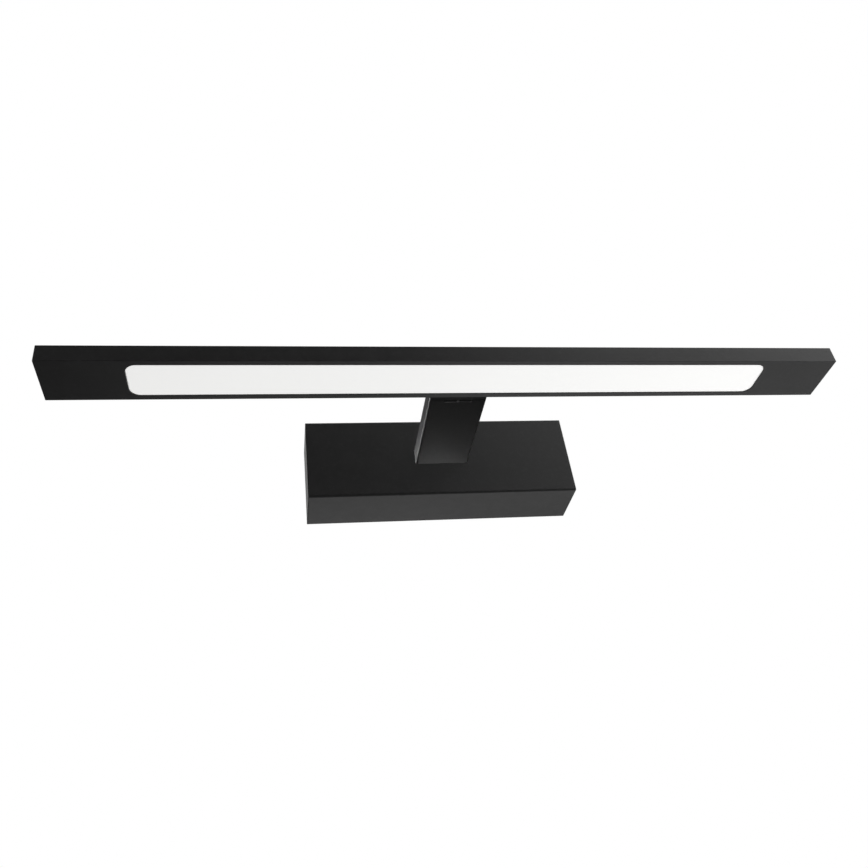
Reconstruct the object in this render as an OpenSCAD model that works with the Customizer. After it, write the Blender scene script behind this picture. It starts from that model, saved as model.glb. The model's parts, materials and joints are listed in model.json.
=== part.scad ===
// Picture light for wall fixing: a slim linear head on a flat arm,
// standing out from a rectangular wall box that holds the driver.
// Frame: X along the head, Z up, wall plane at Y = 0, light on the -Y side.
// Origin: centre of the wall fixing holes, on the wall plane.
// All sizes in millimetres.

/* [Head] */
// Length of the light head
head_l = 400; // [320:10:600]
// Depth of the head, front to back
head_d = 28.5; // [28.5:0.5:34]
// Height of the head
head_h = 9.5; // [9.5:0.1:11]
// Wall thickness of the head shell and its cover
head_t = 1.2; // [1:0.1:1.3]
// Plain margin at each end, from the head's end to the diffuser
end_margin = 39; // [38:1:60]
// Width of the diffuser's visible face
win_w = 22; // [20:0.5:22]
// Corner radius of the diffuser's visible face
win_r = 5; // [3:0.5:8]
// Gap around the diffuser's visible face
win_gap = 0.2; // [0.1:0.1:0.4]
// How far the diffuser's face sits behind the shell's face
win_recess = 0.3; // [0:0.1:0.6]

/* [Arm] */
// Length of the arm between the wall box and the head
arm_l = 60; // [56:1:150]
// Width of the arm
arm_w = 30; // [29:0.5:32]
// Height of the arm
arm_h = 10; // [10:0.1:10.3]
// Wall thickness of the arm tube
arm_t = 1.2; // [1:0.1:1.2]

/* [Wall box] */
// Width of the wall box
box_w = 152; // [152:1:180]
// Height of the wall box
box_h = 50; // [48:1:70]
// Depth of the wall box
box_d = 29.5; // [29.5:0.5:40]
// Sheet thickness of the wall box
box_t = 1.2; // [1.1:0.1:1.3]

/* [Wall fixing] */
// Distance between the two wall screw holes
screw_pitch = 130; // [126:1:132]
// Diameter of the wall screw holes
screw_hole_d = 5; // [4:0.1:5.5]
// Sheet thickness of the wall bracket
bracket_t = 1.5; // [1.2:0.1:1.5]
// Bore of the cable grommet
cable_d = 8; // [6:0.5:9]

/* [Hinge] */
// Diameter of the hinge pins
pin_d = 2.5; // [2:0.1:2.6]
// Radius of the hinge barrel
barrel_r = 2.4; // [2.3:0.1:2.5]
// Width of the barrel's middle part, on the head
knuckle_w = 13.2; // [12:0.2:14]
// Thickness of the neck between the barrel and the head
neck_t = 2.2; // [1.8:0.1:2.2]

/* [Light source] */
// Distance from one LED to the next
led_pitch = 6.6; // [5:0.1:12]

/* [Hidden] */
$fn = 64;
e = 0.01;

// stations along Y, from the wall outwards
y_face = -box_d;                       // front of the wall box
y_back = y_face - arm_l;               // back of the head
y_nose = y_back + 0.15;                // end face of the arm
y_axis = y_nose + barrel_r;            // hinge axis, in the arm's lower corner
z_axis = -arm_h / 2 + barrel_r;
y_seam = y_back + 11.3;                // end of the arm tube
y_mid = y_back - head_d / 2;           // centre line of the head
y_front = y_back - head_d;             // front of the head

// head
z_in = -head_h / 2 + head_t;           // inner face of the shell's floor
z_lid = head_h / 2 - head_t;           // underside of the cover
flange_t = 1.2;                        // diffuser flange
z_flange = z_in + flange_t;
board_t = 1;
pad_t = 0.2;
z_board = z_lid - pad_t - board_t;     // LED side of the board
tray_t = 0.5;
win_l = head_l - 2 * end_margin;
half_in = head_d / 2 - head_t;         // half of the inside depth
boss_x = head_l / 2 - 10;
boss_y = 8;
led_n = 2 * floor((win_l - 8) / led_pitch / 2);
fix_x = [for (k = [-1, 1]) for (f = [0.17, 0.47]) k * f * win_l];
fix_y = y_mid + 4.8;

// hinge
pin_r = pin_d / 2;
run = 0.03;                            // running clearance of the pins
washer_t = 0.5;
slot_w = knuckle_w + 2 * (washer_t + 0.1);
lead_r = 0.6;
neck_z0 = max(z_in + 0.05, z_axis - neck_t / 2);
neck_z1 = z_axis + neck_t / 2;
leaf_y = y_back - head_t;              // hinge leaf, against the head's back wall
leaf_t = 1.3;
leaf_w = 48;

// arm
plug_w = arm_w - 2 * arm_t - 0.2;
plug_h = arm_h - 2 * arm_t - 0.2;
plug_l = 14;
plate_t = 3;
y_plate = y_face + box_t;              // arm plate, on the inside of the box
y_tube_end = y_plate + plate_t;
stud_x = 26;

// wall bracket
brk_w = box_w - 2 * box_t - 0.8;
brk_h = 40;
tab_y = -9;
tab_h = 18;

// driver
drv_x0 = -50;
drv_x1 = 20;
drv_h = 30;
drv_y1 = -bracket_t;
drv_y0 = -bracket_t - 16.3;
lid_t = 1.5;
wall_d = 1.5;
ear = 3.2;                             // from the case to the ear's hole

// terminal block
blk_x0 = 29;
blk_x1 = 43;
blk_h = 24;
blk_y0 = -13.5;
wire_y = -7.5;
pole = 8;
grm_x = 52;
earth_x = 36;
earth_z = 16.2;

ink = [0.13, 0.13, 0.135];
steel = [0.72, 0.73, 0.74];
zinc = [0.78, 0.78, 0.76];
brass = [0.8, 0.66, 0.32];
opal = [0.95, 0.95, 0.93];

// ---------- shared shapes ----------

// box given by its low and high corners
module span(a, b) {
  translate(a) cube([b[0] - a[0], b[1] - a[1], b[2] - a[2]]);
}

// flat outline with rounded corners
module round_rect(l, w, r) {
  square([l - 2 * r, w], center = true);
  square([l, w - 2 * r], center = true);
  for (x = [-1, 1], y = [-1, 1])
    translate([x * (l / 2 - r), y * (w / 2 - r)]) circle(r = r);
}

// cylinder along X from x0 to x1
module rod_x(r, x0, x1, y = 0, z = 0) {
  translate([x0, y, z]) rotate([0, 90, 0]) cylinder(r = r, h = x1 - x0);
}

// cylinder along Y from y0 to y1
module rod_y(r, y0, y1, x = 0, z = 0) {
  translate([x, y0, z]) rotate([-90, 0, 0]) cylinder(r = r, h = y1 - y0);
}

// cylinder along Z from z0 to z1
module rod_z(r, z0, z1, x = 0, y = 0) {
  translate([x, y, z0]) cylinder(r = r, h = z1 - z0);
}

// countersunk screw, pointing down, its flat head's top at the origin
module flat_screw(r, head_r, head_h, l) {
  translate([0, 0, -l]) cylinder(r = r, h = l - head_h + e);
  translate([0, 0, -head_h]) cylinder(r1 = r, r2 = head_r, h = head_h);
}

// recess for a flat screw
module flat_seat(r, head_r, head_h, l) {
  translate([0, 0, -l]) cylinder(r = r, h = l);
  translate([0, 0, -head_h]) cylinder(r1 = r, r2 = head_r, h = head_h);
  translate([0, 0, -e]) cylinder(r = head_r, h = 1);
}

// pan head screw along -Z, the head's underside at the origin
module pan_screw(r, head_r, head_h, l) {
  difference() {
    cylinder(r = head_r, h = head_h);
    for (a = [0, 90])
      rotate([0, 0, a]) translate([-head_r * 0.55, -r * 0.22, head_h * 0.45])
        cube([head_r * 1.1, r * 0.44, head_h]);
  }
  translate([0, 0, -l]) cylinder(r = r, h = l + e);
}

// ---------- wall bracket ----------

module wall_bracket() {
  color(steel) difference() {
    union() {
      span([-brk_w / 2, -bracket_t, -brk_h / 2], [brk_w / 2, 0, brk_h / 2]);
      for (s = [-1, 1]) {
        // folded end tab with a pressed thread collar
        scale_x(s) span([brk_w / 2 - bracket_t, -14, -tab_h / 2],
                        [brk_w / 2, -bracket_t / 2, tab_h / 2]);
        scale_x(s) rod_x(3, brk_w / 2 - bracket_t - 2, brk_w / 2 - bracket_t / 2,
                         tab_y);
      }
    }
    for (s = [-1, 1]) {
      rod_y(screw_hole_d / 2, -bracket_t - 1, 1, s * screw_pitch / 2);
      scale_x(s) rod_x(1.5, brk_w / 2 - 8, brk_w / 2 + 1, tab_y);
    }
    rod_y(6.5, -bracket_t - 1, 1, grm_x);
    rod_y(1.5, -bracket_t - 1, 1, drv_x0 - ear);
    rod_y(1.5, -bracket_t - 1, 1, drv_x1 + ear);
    for (s = [-1, 1])
      rod_y(1.5, -bracket_t - 1, 1, (blk_x0 + blk_x1) / 2, s * pole / 2);
    rod_y(2, -bracket_t - 1, 1, earth_x, earth_z);
  }
}

module scale_x(s) { if (s > 0) children(); else mirror([1, 0, 0]) children(); }

module cable_grommet() {
  color([0.1, 0.1, 0.1]) difference() {
    union() {
      rod_y(7.5, -bracket_t - 2, -bracket_t, grm_x);
      rod_y(6.4, -bracket_t - e, 0, grm_x);
    }
    rod_y(cable_d / 2, -bracket_t - 3, 1, grm_x);
  }
}

module earth_screw() {
  color(brass) translate([earth_x, -bracket_t - 0.8, earth_z])
    rotate([90, 0, 0]) pan_screw(1.95, 3.4, 2.2, bracket_t + 0.6);
}

module earth_ring() {
  color(steel) difference() {
    union() {
      rod_y(3.3, -bracket_t - 0.8, -bracket_t, earth_x, earth_z);
      span([earth_x + 2.6, -bracket_t - 0.8, earth_z - 1.1],
           [earth_x + 6, -bracket_t, earth_z + 1.1]);
      span([earth_x + 4, -bracket_t - 2.2, earth_z - 1.1],
           [earth_x + 6, -bracket_t, earth_z + 1.1]);
    }
    rod_y(2.1, -bracket_t - 3, 1, earth_x, earth_z);
  }
}

// insulated wire with square turns
module earth_lead() {
  x = 46.5;
  y2 = -bracket_t - 1.1;
  r = 0.9;
  color([0.25, 0.6, 0.2]) {
    rod_x(r, blk_x1 - 4, x, wire_y);
    translate([x, wire_y, 0]) sphere(r = r);
    rod_z(r, 0, earth_z, x, wire_y);
    translate([x, wire_y, earth_z]) sphere(r = r);
    rod_y(r, wire_y, y2, x, earth_z);
    translate([x, y2, earth_z]) sphere(r = r);
    rod_x(r, earth_x + 6, x, y2, earth_z);
  }
}

// ---------- driver ----------

module driver_case() {
  y_floor = drv_y1 - wall_d;
  color([0.93, 0.93, 0.92]) difference() {
    union() {
      difference() {
        span([drv_x0, drv_y0, -drv_h / 2], [drv_x1, drv_y1, drv_h / 2]);
        span([drv_x0 + wall_d, drv_y0 - 1, -drv_h / 2 + wall_d],
             [drv_x1 - wall_d, y_floor, drv_h / 2 - wall_d]);
      }
      // fixing ears
      span([drv_x0 - 2 * ear, drv_y1 - 2.5, -5], [drv_x0 + e, drv_y1, 5]);
      span([drv_x1 - e, drv_y1 - 2.5, -5], [drv_x1 + 2 * ear, drv_y1, 5]);
      // board supports
      for (x = [drv_x0 + 6, drv_x1 - 6], z = [-9, 9])
        rod_y(2, y_floor - 1.5, y_floor + e, x, z);
    }
    for (x = [drv_x0 - ear, drv_x1 + ear]) rod_y(1.7, -10, 1, x);
    for (z = [-pole, pole]) rod_x(1.1, drv_x1 - 3, drv_x1 + 1, wire_y, z);
  }
}

module driver_lid() {
  color([0.88, 0.88, 0.87]) difference() {
    span([drv_x0, drv_y0 - lid_t, -drv_h / 2], [drv_x1, drv_y0, drv_h / 2]);
    rod_y(0.9, drv_y0 - 5, drv_y0 + 2, 0, z_axis);
  }
}

module driver_board() {
  y1 = drv_y1 - wall_d - 1.5;
  color([0.1, 0.4, 0.25])
    span([drv_x0 + 2.5, y1 - 1.6, -13], [drv_x1 - 2.5, y1, 13]);
}

module driver_transformer() {
  y1 = drv_y1 - wall_d - 3.1;
  color([0.85, 0.75, 0.3]) {
    span([-34, y1 - 9, -9], [-18, y1, 9]);
    span([-37, y1 - 6.5, -6], [-33.9, y1 - 2.5, 6]);
    span([-18.1, y1 - 6.5, -6], [-15, y1 - 2.5, 6]);
  }
}

module driver_capacitors() {
  y1 = drv_y1 - wall_d - 3.1;
  color([0.2, 0.2, 0.5]) {
    rod_y(4, y1 - 8.5, y1, -42, -6);
    rod_y(3, y1 - 7, y1, -42, 6);
    rod_y(3.5, y1 - 8, y1, -7, 0);
    span([1, y1 - 6, -11], [5, y1, -2]);
  }
}

module driver_screws() {
  for (x = [drv_x0 - ear, drv_x1 + ear])
    color(zinc) translate([x, drv_y1 - 2.5, 0]) rotate([90, 0, 0])
      pan_screw(1.45, 2.8, 1.8, 3.8);
}

module terminal_block() {
  color([0.92, 0.92, 0.88]) difference() {
    span([blk_x0, blk_y0, -blk_h / 2], [blk_x1, -bracket_t, blk_h / 2]);
    for (k = [-1, 0, 1]) {
      rod_x(2.3, blk_x0 - 1, blk_x1 + 1, wire_y, k * pole);
      for (x = [blk_x0 + 3.5, blk_x1 - 3.5])
        rod_y(1.7, blk_y0 - 1, wire_y, x, k * pole);
    }
    for (s = [-1, 1])
      rod_y(1.6, blk_y0 - 1, 0, (blk_x0 + blk_x1) / 2, s * pole / 2);
  }
}

// brass wire clamps, one in each pole
module terminal_clamps() {
  for (k = [-1, 0, 1]) color(brass) difference() {
    rod_x(2.2, blk_x0 + 1, blk_x1 - 1, wire_y, k * pole);
    rod_x(1.2, blk_x0, blk_x1, wire_y, k * pole);
    for (x = [blk_x0 + 3.5, blk_x1 - 3.5])
      rod_y(1.55, blk_y0, wire_y, x, k * pole);
  }
}

module terminal_screws() {
  for (k = [-1, 0, 1], x = [blk_x0 + 3.5, blk_x1 - 3.5])
    color(zinc) difference() {
      rod_y(1.4, blk_y0 + 0.8, wire_y - 1, x, k * pole);
      span([x - 1.6, blk_y0, k * pole - 0.25], [x + 1.6, blk_y0 + 1.5, k * pole + 0.25]);
    }
}

module block_screws() {
  for (s = [-1, 1])
    color(zinc) translate([(blk_x0 + blk_x1) / 2, blk_y0, s * pole / 2])
      rotate([90, 0, 0]) pan_screw(1.4, 2.4, 1.4, -blk_y0 - 0.3);
}

// live and neutral wires between the terminal block and the driver
module mains_leads() {
  for (z = [-pole, pole])
    color([0.35, 0.2, 0.1]) rod_x(0.9, drv_x1 - 5, blk_x0 + 5, wire_y, z);
}

// ---------- wall box ----------

module wall_box() {
  color(ink) difference() {
    span([-box_w / 2, -box_d, -box_h / 2], [box_w / 2, 0, box_h / 2]);
    span([-box_w / 2 + box_t, -box_d + box_t, -box_h / 2 + box_t],
         [box_w / 2 - box_t, 1, box_h / 2 - box_t]);
    span([-arm_w / 2 - 0.1, -box_d - 1, -arm_h / 2 - 0.1],
         [arm_w / 2 + 0.1, -box_d + box_t + 1, arm_h / 2 + 0.1]);
    for (s = [-1, 1]) translate([s * box_w / 2, tab_y, 0]) rotate([0, s * 90, 0])
      flat_seat(1.6, 2.7, 1.05, 3);
  }
}

module box_screws() {
  for (s = [-1, 1])
    color(ink) translate([s * box_w / 2, tab_y, 0]) rotate([0, s * 90, 0])
      difference() {
        flat_screw(1.45, 2.6, 1.05, 5.4);
        translate([0, 0, -0.9]) cylinder(r = 1.15, h = 2, $fn = 6);
      }
}

module arm_studs() {
  for (s = [-1, 1]) color(steel) rod_y(2, y_plate, y_plate + 8, s * stud_x);
}

// ---------- arm ----------

module arm_plate() {
  color(steel) difference() {
    span([-34, y_plate, -12], [34, y_plate + plate_t, 12]);
    span([-arm_w / 2 - 0.05, y_plate - 1, -arm_h / 2 - 0.05],
         [arm_w / 2 + 0.05, y_plate + plate_t + 1, arm_h / 2 + 0.05]);
    for (s = [-1, 1]) rod_y(2.25, y_plate - 1, y_plate + plate_t + 1, s * stud_x);
  }
}

module arm_washers() {
  for (s = [-1, 1]) color(zinc) difference() {
    rod_y(4.4, y_tube_end, y_tube_end + 0.8, s * stud_x);
    rod_y(2.15, y_tube_end - 1, y_tube_end + 2, s * stud_x);
  }
}

module arm_nuts() {
  for (s = [-1, 1]) color(zinc) difference() {
    translate([s * stud_x, y_tube_end + 0.8, 0]) rotate([-90, 0, 0])
      cylinder(r = 7 / sqrt(3), h = 3.2, $fn = 6);
    rod_y(2.05, y_tube_end, y_tube_end + 5, s * stud_x);
  }
}

module arm_tube() {
  color(ink) difference() {
    span([-arm_w / 2, y_seam, -arm_h / 2], [arm_w / 2, y_tube_end, arm_h / 2]);
    span([-arm_w / 2 + arm_t, y_seam - 1, -arm_h / 2 + arm_t],
         [arm_w / 2 - arm_t, y_tube_end + 1, arm_h / 2 - arm_t]);
    for (s = [-1, 1]) translate([s * 8, y_seam + plug_l / 2, arm_h / 2])
      flat_seat(1.6, 2.7, 1.05, 1.6);
  }
}

// low-voltage lead: from the driver, through the arm, to the hinge axis
module arm_lead() {
  color([0.15, 0.15, 0.15]) rod_y(lead_r, y_axis + 0.1, drv_y0 + 1, 0, z_axis);
}

// ---------- hinge ----------

// solid end of the arm with the two outer parts of the barrel
module hinge_fork() {
  color(ink) difference() {
    union() {
      span([-arm_w / 2, y_nose, z_axis], [arm_w / 2, y_seam, arm_h / 2]);
      span([-arm_w / 2, y_axis, -arm_h / 2], [arm_w / 2, y_seam, arm_h / 2]);
      rod_x(barrel_r, -arm_w / 2, arm_w / 2, y_axis, z_axis);
      span([-plug_w / 2, y_seam - e, -plug_h / 2],
           [plug_w / 2, y_seam + plug_l, plug_h / 2]);
    }
    // room for the middle of the barrel and for its neck as it swings down
    rod_x(barrel_r + 0.2, -slot_w / 2, slot_w / 2, y_axis, z_axis);
    span([-slot_w / 2, y_nose - 1, -arm_h], [slot_w / 2, y_axis, neck_z1 + 0.2]);
    span([-slot_w / 2, y_nose - 1, -arm_h],
         [slot_w / 2, y_axis + neck_t / 2 + 0.1, z_axis]);
    // pin bore and wire way
    rod_x(pin_r + 0.02, -arm_w, arm_w, y_axis, z_axis);
    rod_y(lead_r + 0.2, y_axis, y_seam + 1, 0, z_axis);
    span([-lead_r - 0.2, y_seam, -arm_h],
         [lead_r + 0.2, y_seam + plug_l + 1, z_axis + lead_r + 0.2]);
    for (s = [-1, 1])
      rod_z(1.5, -1.8, plug_h, s * 8, y_seam + plug_l / 2);
  }
}

module fork_screws() {
  for (s = [-1, 1]) color(ink)
    translate([s * 8, y_seam + plug_l / 2, arm_h / 2]) difference() {
      flat_screw(1.45, 2.6, 1.05, 6);
      translate([0, 0, -0.9]) cylinder(r = 1.15, h = 2, $fn = 6);
    }
}

// one short pin from each side, with a hex socket in its outer end
module hinge_pins() {
  for (s = [-1, 1]) color(ink) scale_x(s) difference() {
    rod_x(pin_r, 1.4, arm_w / 2 - 0.1, y_axis, z_axis);
    translate([arm_w / 2 - 1.9, y_axis, z_axis]) rotate([0, 90, 0])
      cylinder(r = 0.75, h = 2.8, $fn = 6);
  }
}

module friction_washers() {
  for (s = [-1, 1]) color([0.2, 0.2, 0.2]) scale_x(s) difference() {
    rod_x(barrel_r - 0.2, knuckle_w / 2 + 0.05, knuckle_w / 2 + 0.05 + washer_t,
          y_axis, z_axis);
    rod_x(pin_r + 0.06, 0, slot_w, y_axis, z_axis);
  }
}

// middle of the barrel, on a leaf inside the head's back wall
module hinge_knuckle() {
  color(ink) difference() {
    union() {
      rod_x(barrel_r, -knuckle_w / 2, knuckle_w / 2, y_axis, z_axis);
      span([-knuckle_w / 2, leaf_y - 0.5, neck_z0], [knuckle_w / 2, y_axis, neck_z1]);
      span([-leaf_w / 2, leaf_y - leaf_t, z_in + 0.05],
           [leaf_w / 2, leaf_y, z_lid - 0.15]);
    }
    rod_x(pin_r + run, -slot_w, slot_w, y_axis, z_axis);
    // wire way along the neck, up behind the leaf, and round the barrel's back
    rod_y(lead_r + 0.15, leaf_y - 3, y_axis, 0, z_axis);
    span([-lead_r - 0.15, leaf_y - leaf_t - 1, z_axis - lead_r - 0.15],
         [lead_r + 0.15, leaf_y, lead_r + 0.15]);
    span([-lead_r - 0.2, y_axis - lead_r - 0.15, z_axis - barrel_r - 1],
         [lead_r + 0.2, y_axis + barrel_r + 1, z_axis + lead_r + 0.15]);
    for (s = [-1, 1]) rod_y(1.25, leaf_y - 3, leaf_y + 1, s * 19);
  }
}

module knuckle_screws() {
  for (s = [-1, 1]) color(ink)
    translate([s * 19, y_back, 0]) rotate([-90, 0, 0]) difference() {
      flat_screw(1.2, 2.2, 0.95, head_t + 1.3);
      translate([0, 0, -0.7]) cylinder(r = 0.85, h = 2, $fn = 6);
    }
}

// ---------- head ----------

module head_shell() {
  color(ink) difference() {
    union() {
      difference() {
        span([-head_l / 2, y_front, -head_h / 2], [head_l / 2, y_back, head_h / 2]);
        span([-head_l / 2 + head_t, y_front + head_t, z_in],
             [head_l / 2 - head_t, y_back - head_t, head_h]);
      }
      for (x = [-boss_x, boss_x], y = [-boss_y, boss_y])
        rod_z(3, z_in - e, z_lid, x, y_mid + y);
    }
    // diffuser window
    translate([0, y_mid, -head_h]) linear_extrude(head_h)
      round_rect(win_l + 2 * win_gap, win_w + 2 * win_gap, win_r + win_gap);
    // passage of the hinge's neck and the two screws beside it
    span([-knuckle_w / 2 - 0.2, leaf_y - 1, max(z_in, neck_z0 - 0.2)],
         [knuckle_w / 2 + 0.2, y_back + 1, neck_z1 + 0.2]);
    for (s = [-1, 1]) translate([s * 19, y_back, 0]) rotate([-90, 0, 0])
      flat_seat(1.3, 2.3, 0.95, 3);
    for (x = [-boss_x, boss_x], y = [-boss_y, boss_y])
      rod_z(1.25, -2, head_h, x, y_mid + y);
  }
}

module head_cover() {
  color(ink) difference() {
    span([-head_l / 2 + head_t + 0.2, y_front + head_t + 0.2, z_lid],
         [head_l / 2 - head_t - 0.2, y_back - head_t - 0.2, head_h / 2]);
    for (x = [-boss_x, boss_x], y = [-boss_y, boss_y])
      translate([x, y_mid + y, head_h / 2]) flat_seat(1.35, 2.4, 0.95, 3);
    for (x = fix_x) rod_z(1, z_lid - 1, z_lid + 0.7, x, fix_y);
  }
}

module cover_screws() {
  for (x = [-boss_x, boss_x], y = [-boss_y, boss_y]) color(ink)
    translate([x, y_mid + y, head_h / 2]) difference() {
      flat_screw(1.2, 2.3, 0.95, 6);
      translate([0, 0, -0.7]) cylinder(r = 0.85, h = 2, $fn = 6);
    }
}

module diffuser() {
  color(opal) {
    difference() {
      span([-win_l / 2 - 6, y_mid - half_in + 0.2, z_in],
           [win_l / 2 + 6, y_mid + half_in - 0.2, z_flange]);
      // notch for the hinge leaf
      span([-leaf_w / 2 - 0.4, leaf_y - leaf_t - 0.2, z_in - 1],
           [leaf_w / 2 + 0.4, leaf_y + 1, z_flange + 1]);
    }
    translate([0, y_mid, -head_h / 2 + win_recess])
      linear_extrude(head_t - win_recess + e) round_rect(win_l, win_w, win_r);
  }
}

// white tray that carries the board and turns light down to the diffuser
module reflector() {
  w = half_in - 1.55;
  l = win_l / 2 + 2;
  color([0.96, 0.96, 0.96]) difference() {
    span([-l, y_mid - w, z_flange], [l, y_mid + w, z_board]);
    span([-l + tray_t, y_mid - w + tray_t, z_flange - 1],
         [l - tray_t, y_mid + w - tray_t, z_board - tray_t]);
    span([-led_n * led_pitch / 2, y_mid - 2.4, z_flange],
         [led_n * led_pitch / 2, y_mid + 2.4, z_board + 1]);
    span([-3.6, y_mid, z_flange], [3.6, y_mid + 7.4, z_board + 1]);
    rod_y(0.9, y_mid + w - 2, y_mid + w + 1);
    for (x = fix_x) rod_z(1.1, z_flange, z_board + 1, x, fix_y);
  }
}

module led_board() {
  color([0.9, 0.9, 0.88]) difference() {
    span([-win_l / 2 + 1.5, y_mid - 7, z_board], [win_l / 2 - 1.5, y_mid + 7, z_board + board_t]);
    for (x = fix_x) rod_z(1.1, z_board - 1, z_board + board_t + 1, x, fix_y);
  }
}

module leds() {
  for (i = [0:led_n - 1]) {
    x = (i - (led_n - 1) / 2) * led_pitch;
    color([0.98, 0.9, 0.5])
      span([x - 1.75, y_mid - 1.4, z_board - 0.7], [x + 1.75, y_mid + 1.4, z_board]);
  }
}

module thermal_pad() {
  color([0.6, 0.65, 0.7]) difference() {
    span([-win_l / 2 + 2, y_mid - 7, z_board + board_t], [win_l / 2 - 2, y_mid + 7, z_lid]);
    for (x = fix_x) rod_z(1.2, z_board, z_lid + 1, x, fix_y);
  }
}

module board_screws() {
  for (x = fix_x) color(zinc)
    translate([x, fix_y, z_board - tray_t]) rotate([180, 0, 0])
      pan_screw(0.95, 1.8, 0.7, z_lid - z_board + tray_t + 0.5);
}

module board_connector() {
  color([0.95, 0.95, 0.95])
    span([-3, y_mid + 3, -0.9], [3, y_mid + 6.6, z_board]);
}

// low-voltage lead in the head: from the hinge axis, up the leaf, to the board
module head_lead() {
  y = leaf_y - leaf_t / 2;
  color([0.15, 0.15, 0.15]) {
    rod_y(lead_r, y, y_axis - lead_r - 0.15, 0, z_axis);
    translate([0, y, z_axis]) sphere(r = lead_r);
    rod_z(lead_r, z_axis, 0, 0, y);
    translate([0, y, 0]) sphere(r = lead_r);
    rod_y(lead_r, y_mid + 6.6, y);
  }
}

wall_bracket();
cable_grommet();
earth_screw();
earth_ring();
earth_lead();
driver_case();
driver_lid();
driver_board();
driver_transformer();
driver_capacitors();
driver_screws();
terminal_block();
terminal_clamps();
terminal_screws();
block_screws();
mains_leads();
wall_box();
box_screws();
arm_studs();
arm_plate();
arm_washers();
arm_nuts();
arm_tube();
arm_lead();
hinge_fork();
fork_screws();
hinge_pins();
friction_washers();
hinge_knuckle();
knuckle_screws();
head_shell();
head_cover();
cover_screws();
diffuser();
reflector();
led_board();
leds();
thermal_pad();
board_screws();
board_connector();
head_lead();
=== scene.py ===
"""Picture light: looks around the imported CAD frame. Metres, row frame: X along the head, Z up, wall plane Y = 0."""
import json
import math

import bmesh
import bpy
from mathutils import Matrix, Vector


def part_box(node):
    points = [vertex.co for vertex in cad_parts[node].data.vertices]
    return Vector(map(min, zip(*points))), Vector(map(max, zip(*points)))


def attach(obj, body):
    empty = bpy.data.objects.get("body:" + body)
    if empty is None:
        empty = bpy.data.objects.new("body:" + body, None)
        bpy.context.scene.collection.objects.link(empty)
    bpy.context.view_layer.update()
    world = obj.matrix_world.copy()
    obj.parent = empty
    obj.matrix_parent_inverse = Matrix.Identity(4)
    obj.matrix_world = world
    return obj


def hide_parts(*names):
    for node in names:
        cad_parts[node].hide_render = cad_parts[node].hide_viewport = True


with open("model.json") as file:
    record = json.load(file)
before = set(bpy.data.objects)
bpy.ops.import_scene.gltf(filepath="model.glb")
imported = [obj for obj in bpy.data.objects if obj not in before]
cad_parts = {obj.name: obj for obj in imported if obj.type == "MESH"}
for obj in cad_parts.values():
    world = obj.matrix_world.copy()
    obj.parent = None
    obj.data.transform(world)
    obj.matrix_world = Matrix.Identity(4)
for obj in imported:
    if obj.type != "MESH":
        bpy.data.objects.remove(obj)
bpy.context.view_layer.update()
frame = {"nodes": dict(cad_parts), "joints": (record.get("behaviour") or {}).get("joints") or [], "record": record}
MM = 0.001
NODES = frame["nodes"]
SLOT_OF = {s["node"]: s["material_slot"] for s in frame["record"]["subparts"]}
BODY_OF = {n: b for b, ns in frame["record"]["behaviour"]["bodies"].items() for n in ns}

# ------------------------------------------------------------------ camera
cam_data = bpy.data.cameras.new("camera")
cam = bpy.data.objects.new("camera", cam_data)
bpy.context.scene.collection.objects.link(cam)
cam_data.sensor_width = 36.0
cam_data.sensor_fit = "HORIZONTAL"
cam_data.lens = 36.4956
cam_data.clip_start, cam_data.clip_end = 0.01, 50.0
cam_data.shift_x, cam_data.shift_y = -0.000576, 0.000576
YAW, PITCH, ROLL = 0.225481, 0.611834, -0.14594
right = Vector((math.cos(YAW), -math.sin(YAW), 0))
ahead = Vector((math.sin(YAW), math.cos(YAW), 0))
fwd = ahead * math.cos(PITCH) + Vector((0, 0, math.sin(PITCH)))
up = -ahead * math.sin(PITCH) + Vector((0, 0, math.cos(PITCH)))
cx = right * math.cos(ROLL) + up * math.sin(ROLL)
cy = -right * math.sin(ROLL) + up * math.cos(ROLL)
m = Matrix.Identity(4)
for i in range(3):
    m[i][0], m[i][1], m[i][2] = cx[i], cy[i], -fwd[i]
m[0][3], m[1][3], m[2][3] = -0.095433, -0.437686, -0.278670
cam.matrix_world = m
bpy.context.scene.camera = cam

# ------------------------------------------------------------------ materials
def nodes_of(name):
    mat = bpy.data.materials.new(name)
    mat.use_nodes = True
    nt = mat.node_tree
    nt.nodes.clear()
    out = nt.nodes.new("ShaderNodeOutputMaterial")
    sh = nt.nodes.new("ShaderNodeBsdfPrincipled")
    nt.links.new(sh.outputs["BSDF"], out.inputs["Surface"])
    return mat, nt, sh


def noise(nt, scale, detail=3.0, rough=0.5, stretch=None):
    tc = nt.nodes.new("ShaderNodeTexCoord")
    src = tc.outputs["Object"]
    if stretch:
        mp = nt.nodes.new("ShaderNodeMapping")
        mp.inputs["Scale"].default_value = stretch
        nt.links.new(src, mp.inputs["Vector"])
        src = mp.outputs["Vector"]
    n = nt.nodes.new("ShaderNodeTexNoise")
    n.inputs["Scale"].default_value = scale
    n.inputs["Detail"].default_value = detail
    n.inputs["Roughness"].default_value = rough
    nt.links.new(src, n.inputs["Vector"])
    return n.outputs["Fac"]


def ramp(nt, fac, lo, hi, a=0.3, b=0.7):
    r = nt.nodes.new("ShaderNodeMapRange")
    r.inputs["From Min"].default_value, r.inputs["From Max"].default_value = a, b
    r.inputs["To Min"].default_value, r.inputs["To Max"].default_value = lo, hi
    nt.links.new(fac, r.inputs["Value"])
    return r.outputs["Result"]


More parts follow.
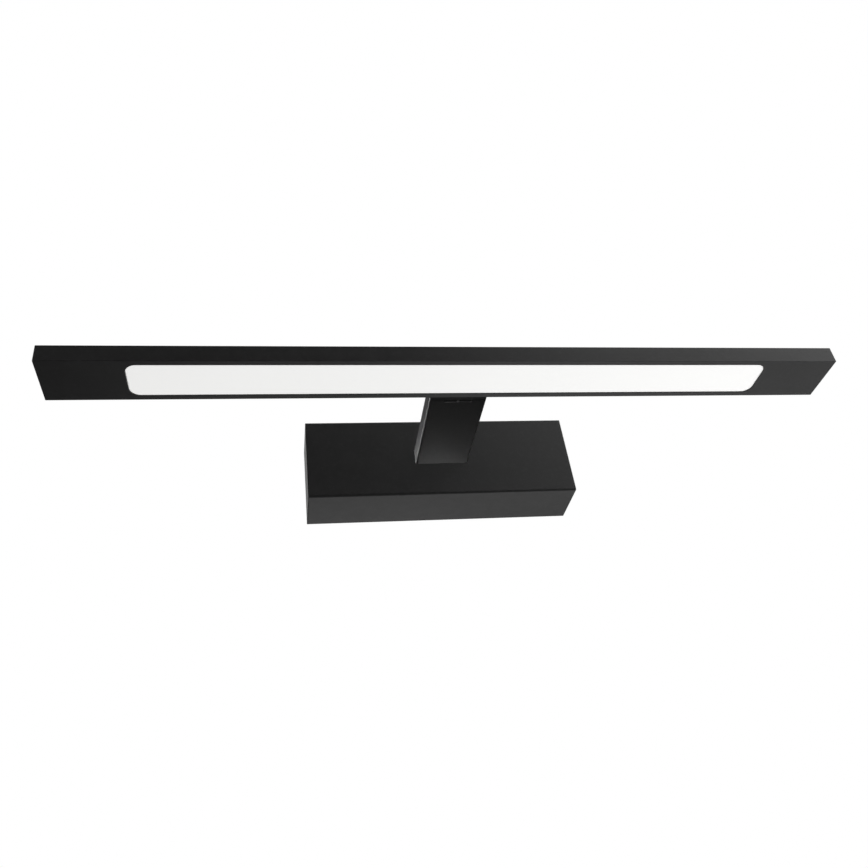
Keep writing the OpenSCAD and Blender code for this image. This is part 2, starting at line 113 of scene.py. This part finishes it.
def tint(nt, fac, c0, c1, a=0.3, b=0.7):
    r = nt.nodes.new("ShaderNodeValToRGB")
    r.color_ramp.elements[0].position, r.color_ramp.elements[1].position = a, b
    r.color_ramp.elements[0].color = (*c0, 1)
    r.color_ramp.elements[1].color = (*c1, 1)
    nt.links.new(fac, r.inputs["Fac"])
    return r.outputs["Color"]


def bump(nt, sh, fac, strength, dist, after=None):
    b = nt.nodes.new("ShaderNodeBump")
    b.inputs["Strength"].default_value = strength
    b.inputs["Distance"].default_value = dist
    nt.links.new(fac, b.inputs["Height"])
    if after is not None:
        nt.links.new(after, b.inputs["Normal"])
    nt.links.new(b.outputs["Normal"], sh.inputs["Normal"])
    return b.outputs["Normal"]


def plain(name, c0, c1, r0, r1, scale, metallic=0.0, bump_d=0.0, strength=0.3, spec=0.5,
          coat=0.0, stretch=None, bump_scale=None):
    mat, nt, sh = nodes_of(name)
    f = noise(nt, scale, 4.0, 0.55, stretch)
    nt.links.new(tint(nt, f, c0, c1), sh.inputs["Base Color"])
    g = noise(nt, scale * 2.3, 2.0, 0.5, stretch)
    nt.links.new(ramp(nt, g, r0, r1), sh.inputs["Roughness"])
    sh.inputs["Metallic"].default_value = metallic
    sh.inputs["Specular IOR Level"].default_value = spec
    sh.inputs["Coat Weight"].default_value = coat
    if bump_d:
        h = noise(nt, bump_scale or scale * 4, 3.0, 0.6, stretch)
        bump(nt, sh, h, strength, bump_d)
    return mat


def powder_coat():
    """Matte black powder coat: a very fine pebbled skin over a slower orange peel, with sparse paler flecks."""
    mat, nt, sh = nodes_of("powder_coat")
    slow = noise(nt, 35.0, 3.0, 0.5)
    base = tint(nt, slow, (0.0185, 0.0185, 0.0188), (0.0215, 0.0214, 0.0216))
    spots = ramp(nt, noise(nt, 420.0, 5.0, 0.65), 0.0, 0.35, 0.5, 0.75)
    mix = nt.nodes.new("ShaderNodeMix")
    mix.data_type = "RGBA"
    nt.links.new(spots, mix.inputs[0])
    nt.links.new(base, mix.inputs[6])
    mix.inputs[7].default_value = (0.042, 0.042, 0.043, 1)
    nt.links.new(mix.outputs[2], sh.inputs["Base Color"])
    nt.links.new(ramp(nt, noise(nt, 160.0, 4.0, 0.6), 0.355, 0.405), sh.inputs["Roughness"])
    sh.inputs["Specular IOR Level"].default_value = 0.5
    peel = bump(nt, sh, noise(nt, 900.0, 2.0, 0.5), 0.12, 0.00002)
    bump(nt, sh, noise(nt, 5200.0, 2.0, 0.5), 0.22, 0.000008, after=peel)
    return mat


def opal():
    """Opal acrylic: even milky white with a satin surface."""
    mat, nt, sh = nodes_of("opal")
    f = noise(nt, 12.0, 2.0, 0.5)
    nt.links.new(tint(nt, f, (0.865, 0.865, 0.858), (0.885, 0.885, 0.880)), sh.inputs["Base Color"])
    nt.links.new(ramp(nt, noise(nt, 300.0, 3.0, 0.5), 0.34, 0.40), sh.inputs["Roughness"])
    sh.inputs["Specular IOR Level"].default_value = 0.5
    sh.inputs["Emission Color"].default_value = (1.0, 1.0, 0.985, 1)
    sh.inputs["Emission Strength"].default_value = DIFFUSER_GLOW
    bump(nt, sh, noise(nt, 2500.0, 2.0, 0.5), 0.08, 0.00001)
    return mat


DIFFUSER_GLOW = 0.55
MAT = {
    "black_powder_coat": powder_coat(),
    "opal_acrylic": opal(),
    "black_screw": plain("black_screw", (0.012,) * 3, (0.020,) * 3, 0.32, 0.45, 700, 0.0, 0.00001),
    "zinc_steel": plain("zinc_steel", (0.60, 0.61, 0.62), (0.65, 0.66, 0.67), 0.31, 0.39, 130, 1.0, 0.000003,
                        stretch=(1, 6, 6)),
    "black_nylon": plain("black_nylon", (0.012,) * 3, (0.018,) * 3, 0.5, 0.6, 500, 0.0, 0.000005),
    "brass": plain("brass", (0.66, 0.47, 0.17), (0.76, 0.58, 0.25), 0.25, 0.38, 300, 1.0, 0.000005),
    "black_rubber": plain("black_rubber", (0.018,) * 3, (0.03,) * 3, 0.6, 0.75, 250, 0.0, 0.00002),
    "white_plastic": plain("white_plastic", (0.78, 0.78, 0.76), (0.82, 0.82, 0.80), 0.40, 0.50, 120, 0.0, 0.00001),
    "green_board": plain("green_board", (0.02, 0.14, 0.06), (0.03, 0.18, 0.08), 0.35, 0.45, 400, 0.0, 0.00001),
    "yellow_tape": plain("yellow_tape", (0.62, 0.44, 0.06), (0.70, 0.52, 0.09), 0.35, 0.5, 200, 0.0, 0.00001),
    "blue_sleeve": plain("blue_sleeve", (0.02, 0.03, 0.16), (0.03, 0.05, 0.22), 0.25, 0.35, 300),
    "brown_wire": plain("brown_wire", (0.10, 0.035, 0.012), (0.13, 0.05, 0.02), 0.35, 0.45, 300),
    "green_wire": plain("green_wire", (0.05, 0.30, 0.03), (0.07, 0.36, 0.05), 0.35, 0.45, 300),
    "black_wire": plain("black_wire", (0.014,) * 3, (0.022,) * 3, 0.35, 0.45, 300),
    "board_aluminium": plain("board_aluminium", (0.76, 0.76, 0.74), (0.82, 0.82, 0.80), 0.35, 0.45, 200),
    "led_yellow": plain("led_yellow", (0.80, 0.66, 0.14), (0.86, 0.74, 0.20), 0.3, 0.4, 500),
    "grey_pad": plain("grey_pad", (0.22, 0.25, 0.28), (0.28, 0.31, 0.33), 0.6, 0.7, 200),
}
for n, o in NODES.items():
    o.data.materials.clear()
    o.data.materials.append(MAT[SLOT_OF[n]])

# ------------------------------------------------------------------ mesh tools
def finish_mesh(name, bm):
    me = bpy.data.meshes.new(name)
    bmesh.ops.recalc_face_normals(bm, faces=bm.faces[:])
    bm.to_mesh(me)
    bm.free()
    ob = bpy.data.objects.new(name, me)
    bpy.context.scene.collection.objects.link(ob)
    return ob


def block(name, lo, hi):
    bm = bmesh.new()
    bmesh.ops.create_cube(bm, size=1.0)
    for v in bm.verts:
        for k in range(3):
            v.co[k] = (lo[k] if v.co[k] < 0 else hi[k]) * MM
    return finish_mesh(name, bm)


def prism(name, pts, lo, hi, axis=2):
    """Outline in the plane across axis, drawn from lo to hi along it. pts are in mm, in the order of the other two axes."""
    bm = bmesh.new()
    o = [k for k in range(3) if k != axis]
    rings = []
    for h in (lo, hi):
        r = []
        for p in pts:
            c = [0, 0, 0]
            c[o[0]], c[o[1]], c[axis] = p[0] * MM, p[1] * MM, h * MM
            r.append(bm.verts.new(c))
        rings.append(r)
    bm.faces.new(rings[0])
    bm.faces.new(rings[1])
    n = len(pts)
    for i in range(n):
        bm.faces.new([rings[0][i], rings[0][(i + 1) % n], rings[1][(i + 1) % n], rings[1][i]])
    return finish_mesh(name, bm)


def round_rect(cx, cy, w, h, r, k=10):
    pts = []
    for sx, sy, a0 in ((1, -1, -90), (1, 1, 0), (-1, 1, 90), (-1, -1, 180)):
        for i in range(k + 1):
            a = math.radians(a0 + 90 * i / k)
            pts.append((cx + sx * (w / 2 - r) + r * math.cos(a), cy + sy * (h / 2 - r) + r * math.sin(a)))
    return pts


def disc(cx, cy, r, k=48):
    return [(cx + r * math.cos(2 * math.pi * (i + 0.5) / k), cy + r * math.sin(2 * math.pi * (i + 0.5) / k))
            for i in range(k)]


def cone(name, p, d, r0, r1, length, k=48):
    """Frustum from p along d: radius r0 at p, r1 at the far end, in mm."""
    bm = bmesh.new()
    bmesh.ops.create_cone(bm, cap_ends=True, segments=k, radius1=r0 * MM, radius2=r1 * MM, depth=length * MM)
    q = Vector(d).normalized()
    rot = Vector((0, 0, 1)).rotation_difference(q).to_matrix().to_4x4()
    bmesh.ops.transform(bm, matrix=Matrix.Translation(Vector(p) * MM + q * (length * MM / 2)) @ rot, verts=bm.verts)
    return finish_mesh(name, bm)


def sink(p, d, r0, r1, depth, over=0.3):
    """Countersink from a surface point p along d: starts well outside the surface, so the cut is clean."""
    q = Vector(d).normalized()
    slope = (r0 - r1) / depth
    return cone("t", Vector(p) - q * over, d, r0 + slope * over, r1, depth + over)


def apply_mods(ob):
    dg = bpy.context.evaluated_depsgraph_get()
    me = bpy.data.meshes.new_from_object(ob.evaluated_get(dg))
    ob.modifiers.clear()
    old = ob.data
    ob.data = me
    bpy.data.meshes.remove(old)


def drop_normals(me):
    a = me.attributes.get("custom_normal")
    if a is not None:
        me.attributes.remove(a)


def csg(ob, tools, how="DIFFERENCE"):
    for t in tools:
        md = ob.modifiers.new("csg", "BOOLEAN")
        md.operation, md.solver, md.object = how, "EXACT", t
        apply_mods(ob)
        me = t.data
        bpy.data.objects.remove(t)
        bpy.data.meshes.remove(me)
    drop_normals(ob.data)
    bm = bmesh.new()
    bm.from_mesh(ob.data)
    bmesh.ops.remove_doubles(bm, verts=bm.verts, dist=1e-7)
    bmesh.ops.dissolve_limit(bm, angle_limit=math.radians(0.4), verts=bm.verts, edges=bm.edges,
                             delimit={"NORMAL"})
    bm.to_mesh(ob.data)
    bm.free()
    return ob


def soften(ob, rule, segments=4, sharp=38):
    """Rounds edges: rule(a, b, normals) gives an edge's radius in mm, or 0. Points are in mm."""
    bm = bmesh.new()
    bm.from_mesh(ob.data)
    lay = bm.edges.layers.float.get("bevel_weight_edge") or bm.edges.layers.float.new("bevel_weight_edge")
    top = 0.0
    found = {}
    for e in bm.edges:
        if len(e.link_faces) != 2:
            continue
        n0, n1 = (f.normal for f in e.link_faces)
        if n0.dot(n1) > 0.9:
            continue
        w = rule(e.verts[0].co / MM, e.verts[1].co / MM, (n0, n1)) or 0.0
        found[e] = w
        top = max(top, w)
    for e, w in found.items():
        e[lay] = w / top if top else 0.0
    bm.to_mesh(ob.data)
    bm.free()
    if top:
        md = ob.modifiers.new("round", "BEVEL")
        md.limit_method, md.offset_type = "WEIGHT", "OFFSET"
        md.width, md.segments, md.profile = top * MM, segments, 0.5
        md.use_clamp_overlap = False
        md.harden_normals = False
        apply_mods(ob)
    for p in ob.data.polygons:        # the flat sides stay flat, so that the holes in them can't bend their shading
        p.use_smooth = max(abs(c) for c in p.normal) < 0.99999
    ob.data.set_sharp_from_angle(angle=math.radians(sharp))
    wn = ob.modifiers.new("normals", "WEIGHTED_NORMAL")
    wn.keep_sharp, wn.weight = True, 100
    apply_mods(ob)
    return ob


def dress(ob, node, body=None, slot=None):
    ob.data.materials.clear()
    ob.data.materials.append(MAT[slot or SLOT_OF[node]])
    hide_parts(node)
    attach(ob, body or BODY_OF[node])
    return ob


def near(a, b, t=0.02):
    return abs(a - b) < t


def mm(node):
    lo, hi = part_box(node)
    return Vector(lo) / MM, Vector(hi) / MM


# ------------------------------------------------------------------ measures taken from the frame
S0, S1 = mm("head_shell")
L0, L1 = mm("head_cover")
D0, D1 = mm("diffuser")
A0, A1 = mm("arm_tube")
F0, F1 = mm("hinge_fork")
K0, K1 = mm("hinge_knuckle")
W0, W1 = mm("wall_box")
AXIS = Vector(frame["joints"][0]["pos_m"]) / MM
BARREL = AXIS.z - F0.z                # barrel radius
T = S1.y - L1.y - 0.2                 # head wall
YM = (S0.y + S1.y) / 2
WIN_L, WIN_W, WIN_R = 322.0, 22.0, 5.0
GAP = 0.2
ARM_R = 1.2
BOX_R = 1.25                          # long front edges
BOX_END_R = 0.6                       # short front edges
BOX_SIDE_R = 0.45                     # edges that run to the wall
HEAD_R = 0.25

# ------------------------------------------------------------------ head shell
shell = block("head_shell_skin", S0, S1)
csg(shell, [
    block("t", (S0.x + T, S0.y + T, S0.z + T), (S1.x - T, S1.y - T, S1.z + 5)),
    prism("t", round_rect(0, YM, WIN_L + 2 * GAP, WIN_W + 2 * GAP, WIN_R + GAP, 12), S0.z - 5, S0.z + 5),
    block("t", (-6.8, S1.y - T - 1, S0.z + T), (6.8, S1.y + 1, AXIS.z + 1.3)),
])
posts = []
for x in (-190, 190):
    for y in (-8, 8):
        posts.append(prism("t", disc(x, YM + y, 3.0), S0.z + T - 0.3, L0.z))
csg(shell, posts, "UNION")
holes = []
for x in (-190, 190):
    for y in (-8, 8):
        holes.append(prism("t", disc(x, YM + y, 1.25, 24), -2, 9))
for x in (-19, 19):
    holes.append(sink((x, S1.y, 0), (0, -1, 0), 2.3, 1.3, 0.96))
    holes.append(cone("t", (x, S1.y + 1, 0), (0, -1, 0), 1.28, 1.28, 4, 24))
csg(shell, holes)


def shell_rule(a, b, n):
    outer = [near(a[k], b[k]) and (near(a[k], S0[k]) or near(a[k], S1[k])) for k in range(3)]
    if sum(outer) >= 2:
        return HEAD_R
    if outer[2] and near(a.z, S0.z) and abs(a.x) < WIN_L / 2 + 1 and abs(b.x) < WIN_L / 2 + 1 and \
            abs(a.y - YM) < WIN_W / 2 + 1:
        return 0.12
    if outer[2] and near(a.z, S1.z):
        return 0.15
    return 0


soften(shell, shell_rule, 4)
dress(shell, "head_shell")

# ------------------------------------------------------------------ head cover
cover = block("head_cover_skin", (L0.x - 0.17, L0.y - 0.17, L0.z), (L1.x + 0.17, L1.y + 0.17, L1.z))   # a hairline seam
soften(cover, lambda a, b, n: 0.2 if near(a.z, L1.z) and near(b.z, L1.z) else 0, 3)
holes = []
for x in (-190, 190):
    for y in (-8, 8):
        holes.append(sink((x, YM + y, L1.z), (0, 0, -1), 2.4, 1.35, 0.96))
        holes.append(prism("t", disc(x, YM + y, 1.33, 24), -9, 9))
csg(cover, holes)
soften(cover, lambda a, b, n: 0, 2)
dress(cover, "head_cover")

# ------------------------------------------------------------------ diffuser
lens = block("diffuser_skin", (D0.x, D0.y, S0.z + T), D1)
csg(lens, [block("t", (-24.4, S1.y - T - 1.5, -9), (24.4, S1.y, 9))])
csg(lens, [prism("t", round_rect(0, YM, WIN_L, WIN_W, WIN_R, 12), D0.z, S0.z + T + 0.4)], "UNION")
soften(lens, lambda a, b, n: 0.15 if near(a.z, D0.z) and near(b.z, D0.z) else 0, 3)
dress(lens, "diffuser")

# ------------------------------------------------------------------ arm tube
tube = prism("arm_tube_skin", round_rect(0, 0, A1.x - A0.x, A1.z - A0.z, ARM_R, 8), A0.y, A1.y, axis=1)
csg(tube, [block("t", (A0.x + 1.2, A0.y - 5, A0.z + 1.2), (A1.x - 1.2, A1.y + 5, A1.z - 1.2))])
holes = [sink((s * 8, A0.y + 7, A1.z), (0, 0, -1), 2.7, 1.6, 1.06) for s in (-1, 1)]
holes += [prism("t", disc(s * 8, A0.y + 7, 1.58, 24), 3, 9) for s in (-1, 1)]
csg(tube, holes)
soften(tube, lambda a, b, n: 0, 2)
dress(tube, "arm_tube")

# ------------------------------------------------------------------ fork, the arm's solid end
seam = A0.y
outline = [(seam, F1.z), (F0.y, F1.z)]
for i in range(13):
    a = math.radians(180 + 90 * i / 12)
    outline.append((AXIS.y + BARREL * math.cos(a), AXIS.z + BARREL * math.sin(a)))
outline.append((seam, F0.z))
fork = prism("hinge_fork_skin", outline, F0.x, F1.x, axis=0)
csg(fork, [prism("t", round_rect(0, 0, F1.x - F0.x, F1.z - F0.z, ARM_R, 8), F0.y - 1, F1.y + 1, axis=1)], "INTERSECT")
csg(fork, [block("t", (-13.7, seam - 0.5, -3.7), (13.7, F1.y, 3.7))], "UNION")
SLOT = 7.2
csg(fork, [
    prism("t", [(AXIS.y + 2.6 * math.cos(2 * math.pi * i / 96), AXIS.z + 2.6 * math.sin(2 * math.pi * i / 96))
                for i in range(96)], -SLOT, SLOT, axis=0),
    block("t", (-SLOT, F0.y - 1, -9), (SLOT, AXIS.y, AXIS.z + 1.3)),
    block("t", (-SLOT, F0.y - 1, -9), (SLOT, AXIS.y + 1.2, AXIS.z)),
    cone("t", (-20, AXIS.y, AXIS.z), (1, 0, 0), 1.27, 1.27, 40, 32),
    cone("t", (0, AXIS.y, AXIS.z), (0, 1, 0), 0.8, 0.8, 40, 24),
    cone("t", (-8, seam + 7, 6), (0, 0, -1), 1.5, 1.5, 7.8, 24),
    cone("t", (8, seam + 7, 6), (0, 0, -1), 1.5, 1.5, 7.8, 24),
])
soften(fork, lambda a, b, n: 0, 2)
dress(fork, "hinge_fork")

# ------------------------------------------------------------------ wall box
wbox = block("wall_box_skin", W0, W1)
soften(wbox, lambda a, b, n: (BOX_END_R if near(a.x, b.x) else BOX_R) if near(a.y, b.y) and near(a.y, W0.y) else
       (BOX_SIDE_R if near(a.x, b.x) and near(a.z, b.z) else 0), 6)
csg(wbox, [
    block("t", (W0.x + 1.2, W0.y + 1.2, W0.z + 1.2), (W1.x - 1.2, W1.y + 5, W1.z - 1.2)),
    block("t", (-15.1, W0.y - 5, -5.1), (15.1, W0.y + 5, 5.1)),
    sink((W0.x, -9, 0), (1, 0, 0), 2.7, 1.6, 1.06),
    sink((W1.x, -9, 0), (-1, 0, 0), 2.7, 1.6, 1.06),
    cone("t", (W0.x - 1, -9, 0), (1, 0, 0), 1.58, 1.58, 4, 32),
    cone("t", (W1.x + 1, -9, 0), (-1, 0, 0), 1.58, 1.58, 4, 32),
])
soften(wbox, lambda a, b, n: 0.15 if near(a.y, 0) and near(b.y, 0) else 0, 2)
dress(wbox, "wall_box")

# ------------------------------------------------------------------ small CAD pieces: a fine broken edge
for n in ("box_screws", "cover_screws", "fork_screws", "knuckle_screws", "hinge_pins"):
    o = NODES[n]
    w = o.modifiers.new("weld", "WELD")
    w.merge_threshold = 1e-6
    b = o.modifiers.new("edge", "BEVEL")
    b.limit_method, b.angle_limit = "ANGLE", math.radians(45)
    b.width, b.segments = 0.08 * MM, 2
    b.use_clamp_overlap = True

# ------------------------------------------------------------------ stage
bm = bmesh.new()
bmesh.ops.create_grid(bm, x_segments=1, y_segments=1, size=6.0)
floor = finish_mesh("floor", bm)
floor.location = (0, 0, -1.60)
fm, fnt, fsh = nodes_of("stage_floor")
fsh.inputs["Base Color"].default_value = (0.70, 0.70, 0.70, 1)
fsh.inputs["Roughness"].default_value = 0.8
f_seen = fnt.nodes.new("ShaderNodeEmission")     # seen as an even white sweep, like the backdrop
f_seen.inputs["Color"].default_value = (1, 1, 1, 1)
f_path = fnt.nodes.new("ShaderNodeLightPath")
f_mix = fnt.nodes.new("ShaderNodeMixShader")
f_out = [n for n in fnt.nodes if n.type == "OUTPUT_MATERIAL"][0]
fnt.links.new(f_path.outputs["Is Camera Ray"], f_mix.inputs[0])
fnt.links.new(fsh.outputs["BSDF"], f_mix.inputs[1])
fnt.links.new(f_seen.outputs["Emission"], f_mix.inputs[2])
fnt.links.new(f_mix.outputs[0], f_out.inputs["Surface"])
floor.data.materials.append(fm)

CENTRE = Vector((0.0, -0.075, 0.0))
# Softboxes 1.5 m out: azimuth (0 = in front, 90 = right end, 180 = wall side), elevation, watts, and whether the arm
# takes their light too. The ones behind and below graze the undersides; the arm has its own small fills instead.
# The last three only reach the sides that the photo doesn't show.
LIGHTS = [
    (0, 75, 2.68, True),
    (45, 50, 2.19, True),
    (-45, 50, 0.58, True),
    (30, 25, 0.76, True),
    (60, 25, 2.93, True),
    (30, 0, 1.62, False),
    (120, 0, 2.78, False),
    (90, -20, 18.2, False),
    (120, -20, 0.52, False),
    (150, -38, 1.39, False),
    (180, -20, 1.36, False),
    (165, 45, 3.0, True),
    (150, 12, 2.0, False),
    (-150, 25, 1.5, False),
]
# Fills for the arm alone: place and aim in mm, size in mm, watts.
ARM_FILLS = [
    ((0, 0, -15), (0, -45, -5), 30, 0.00064),
    ((0, 5, -25), (0, -45, -5), 30, 0.00035),
    ((0, 15, -22), (0, -45, -5), 30, 0.00131),
    ((20, 10, -20), (0, -45, -5), 30, 0.0011),
    ((40, 15, -22), (0, -45, -5), 30, 0.0016),
    ((22, -104, -103), (0, -88, -4), 30, 0.003),
    ((-234.9, 351.9, 171.0), (0, -55, 0), 150, 0.28),
    ((-500.0, -55.0, 0.0), (0, -55, 0), 150, 2.0),
]

arm_skins = bpy.data.collections.new("arm_skins")
for o in (tube, fork):
    arm_skins.objects.link(o)
arm_pieces = bpy.data.collections.new("arm_pieces")
not_lit = bpy.data.collections.new("all_but_arm_and_floor")
for o in (tube, fork, NODES["hinge_knuckle"], NODES["friction_washers"], NODES["hinge_pins"], NODES["arm_lead"],
          NODES["head_lead"]):
    arm_pieces.objects.link(o)
    not_lit.objects.link(o)
    o.visible_shadow = False
    o.visible_glossy = False
not_lit.objects.link(floor)
for c in not_lit.collection_objects:
    c.light_linking.link_state = "EXCLUDE"


def area_light(name, place, aim, size, watts):
    ld = bpy.data.lights.new(name, "AREA")
    ld.shape, ld.size, ld.energy = "SQUARE", size, watts
    lo = bpy.data.objects.new(name, ld)
    lo.location = place
    lo.rotation_mode = "QUATERNION"
    lo.rotation_quaternion = (place - aim).to_track_quat("Z", "Y")
    lo.visible_camera = False
    bpy.context.scene.collection.objects.link(lo)
    return lo


def softbox(name, az, el, dist, size, watts):
    a, e = math.radians(az), math.radians(el)
    d = Vector((math.sin(a) * math.cos(e), -math.cos(a) * math.cos(e), math.sin(e)))
    return area_light(name, CENTRE + d * dist, CENTRE, size, watts)


for i, (az, el, watts, on_arm) in enumerate(LIGHTS):
    lo = softbox("softbox_%d" % i, az, el, 1.5, 0.7, watts)
    if not on_arm:
        lo.light_linking.receiver_collection = not_lit
for i, (place, aim, size, watts) in enumerate(ARM_FILLS):
    lo = area_light("arm_fill_%d" % i, Vector(place) * MM, Vector(aim) * MM, size * MM, watts)
    lo.light_linking.receiver_collection = arm_pieces if place[1] < -100 else arm_skins   # the barrel takes one of them
    lo.light_linking.blocker_collection = arm_pieces
    lo.data.cycles.use_multiple_importance_sampling = False

AMBIENT = 0.03
world = bpy.data.worlds.new("studio")
bpy.context.scene.world = world
world.use_nodes = True
wt = world.node_tree
wt.nodes.clear()
w_out = wt.nodes.new("ShaderNodeOutputWorld")
seen = wt.nodes.new("ShaderNodeBackground")
seen.inputs["Color"].default_value = (1, 1, 1, 1)
seen.inputs["Strength"].default_value = 1.0
fill = wt.nodes.new("ShaderNodeBackground")
fill.inputs["Color"].default_value = (1, 1, 1, 1)
fill.inputs["Strength"].default_value = AMBIENT
path = wt.nodes.new("ShaderNodeLightPath")
w_mix = wt.nodes.new("ShaderNodeMixShader")
wt.links.new(path.outputs["Is Camera Ray"], w_mix.inputs[0])
wt.links.new(fill.outputs[0], w_mix.inputs[1])
wt.links.new(seen.outputs[0], w_mix.inputs[2])
wt.links.new(w_mix.outputs[0], w_out.inputs["Surface"])

bpy.context.scene.view_settings.view_transform = "Standard"
bpy.context.scene.view_settings.look = "None"
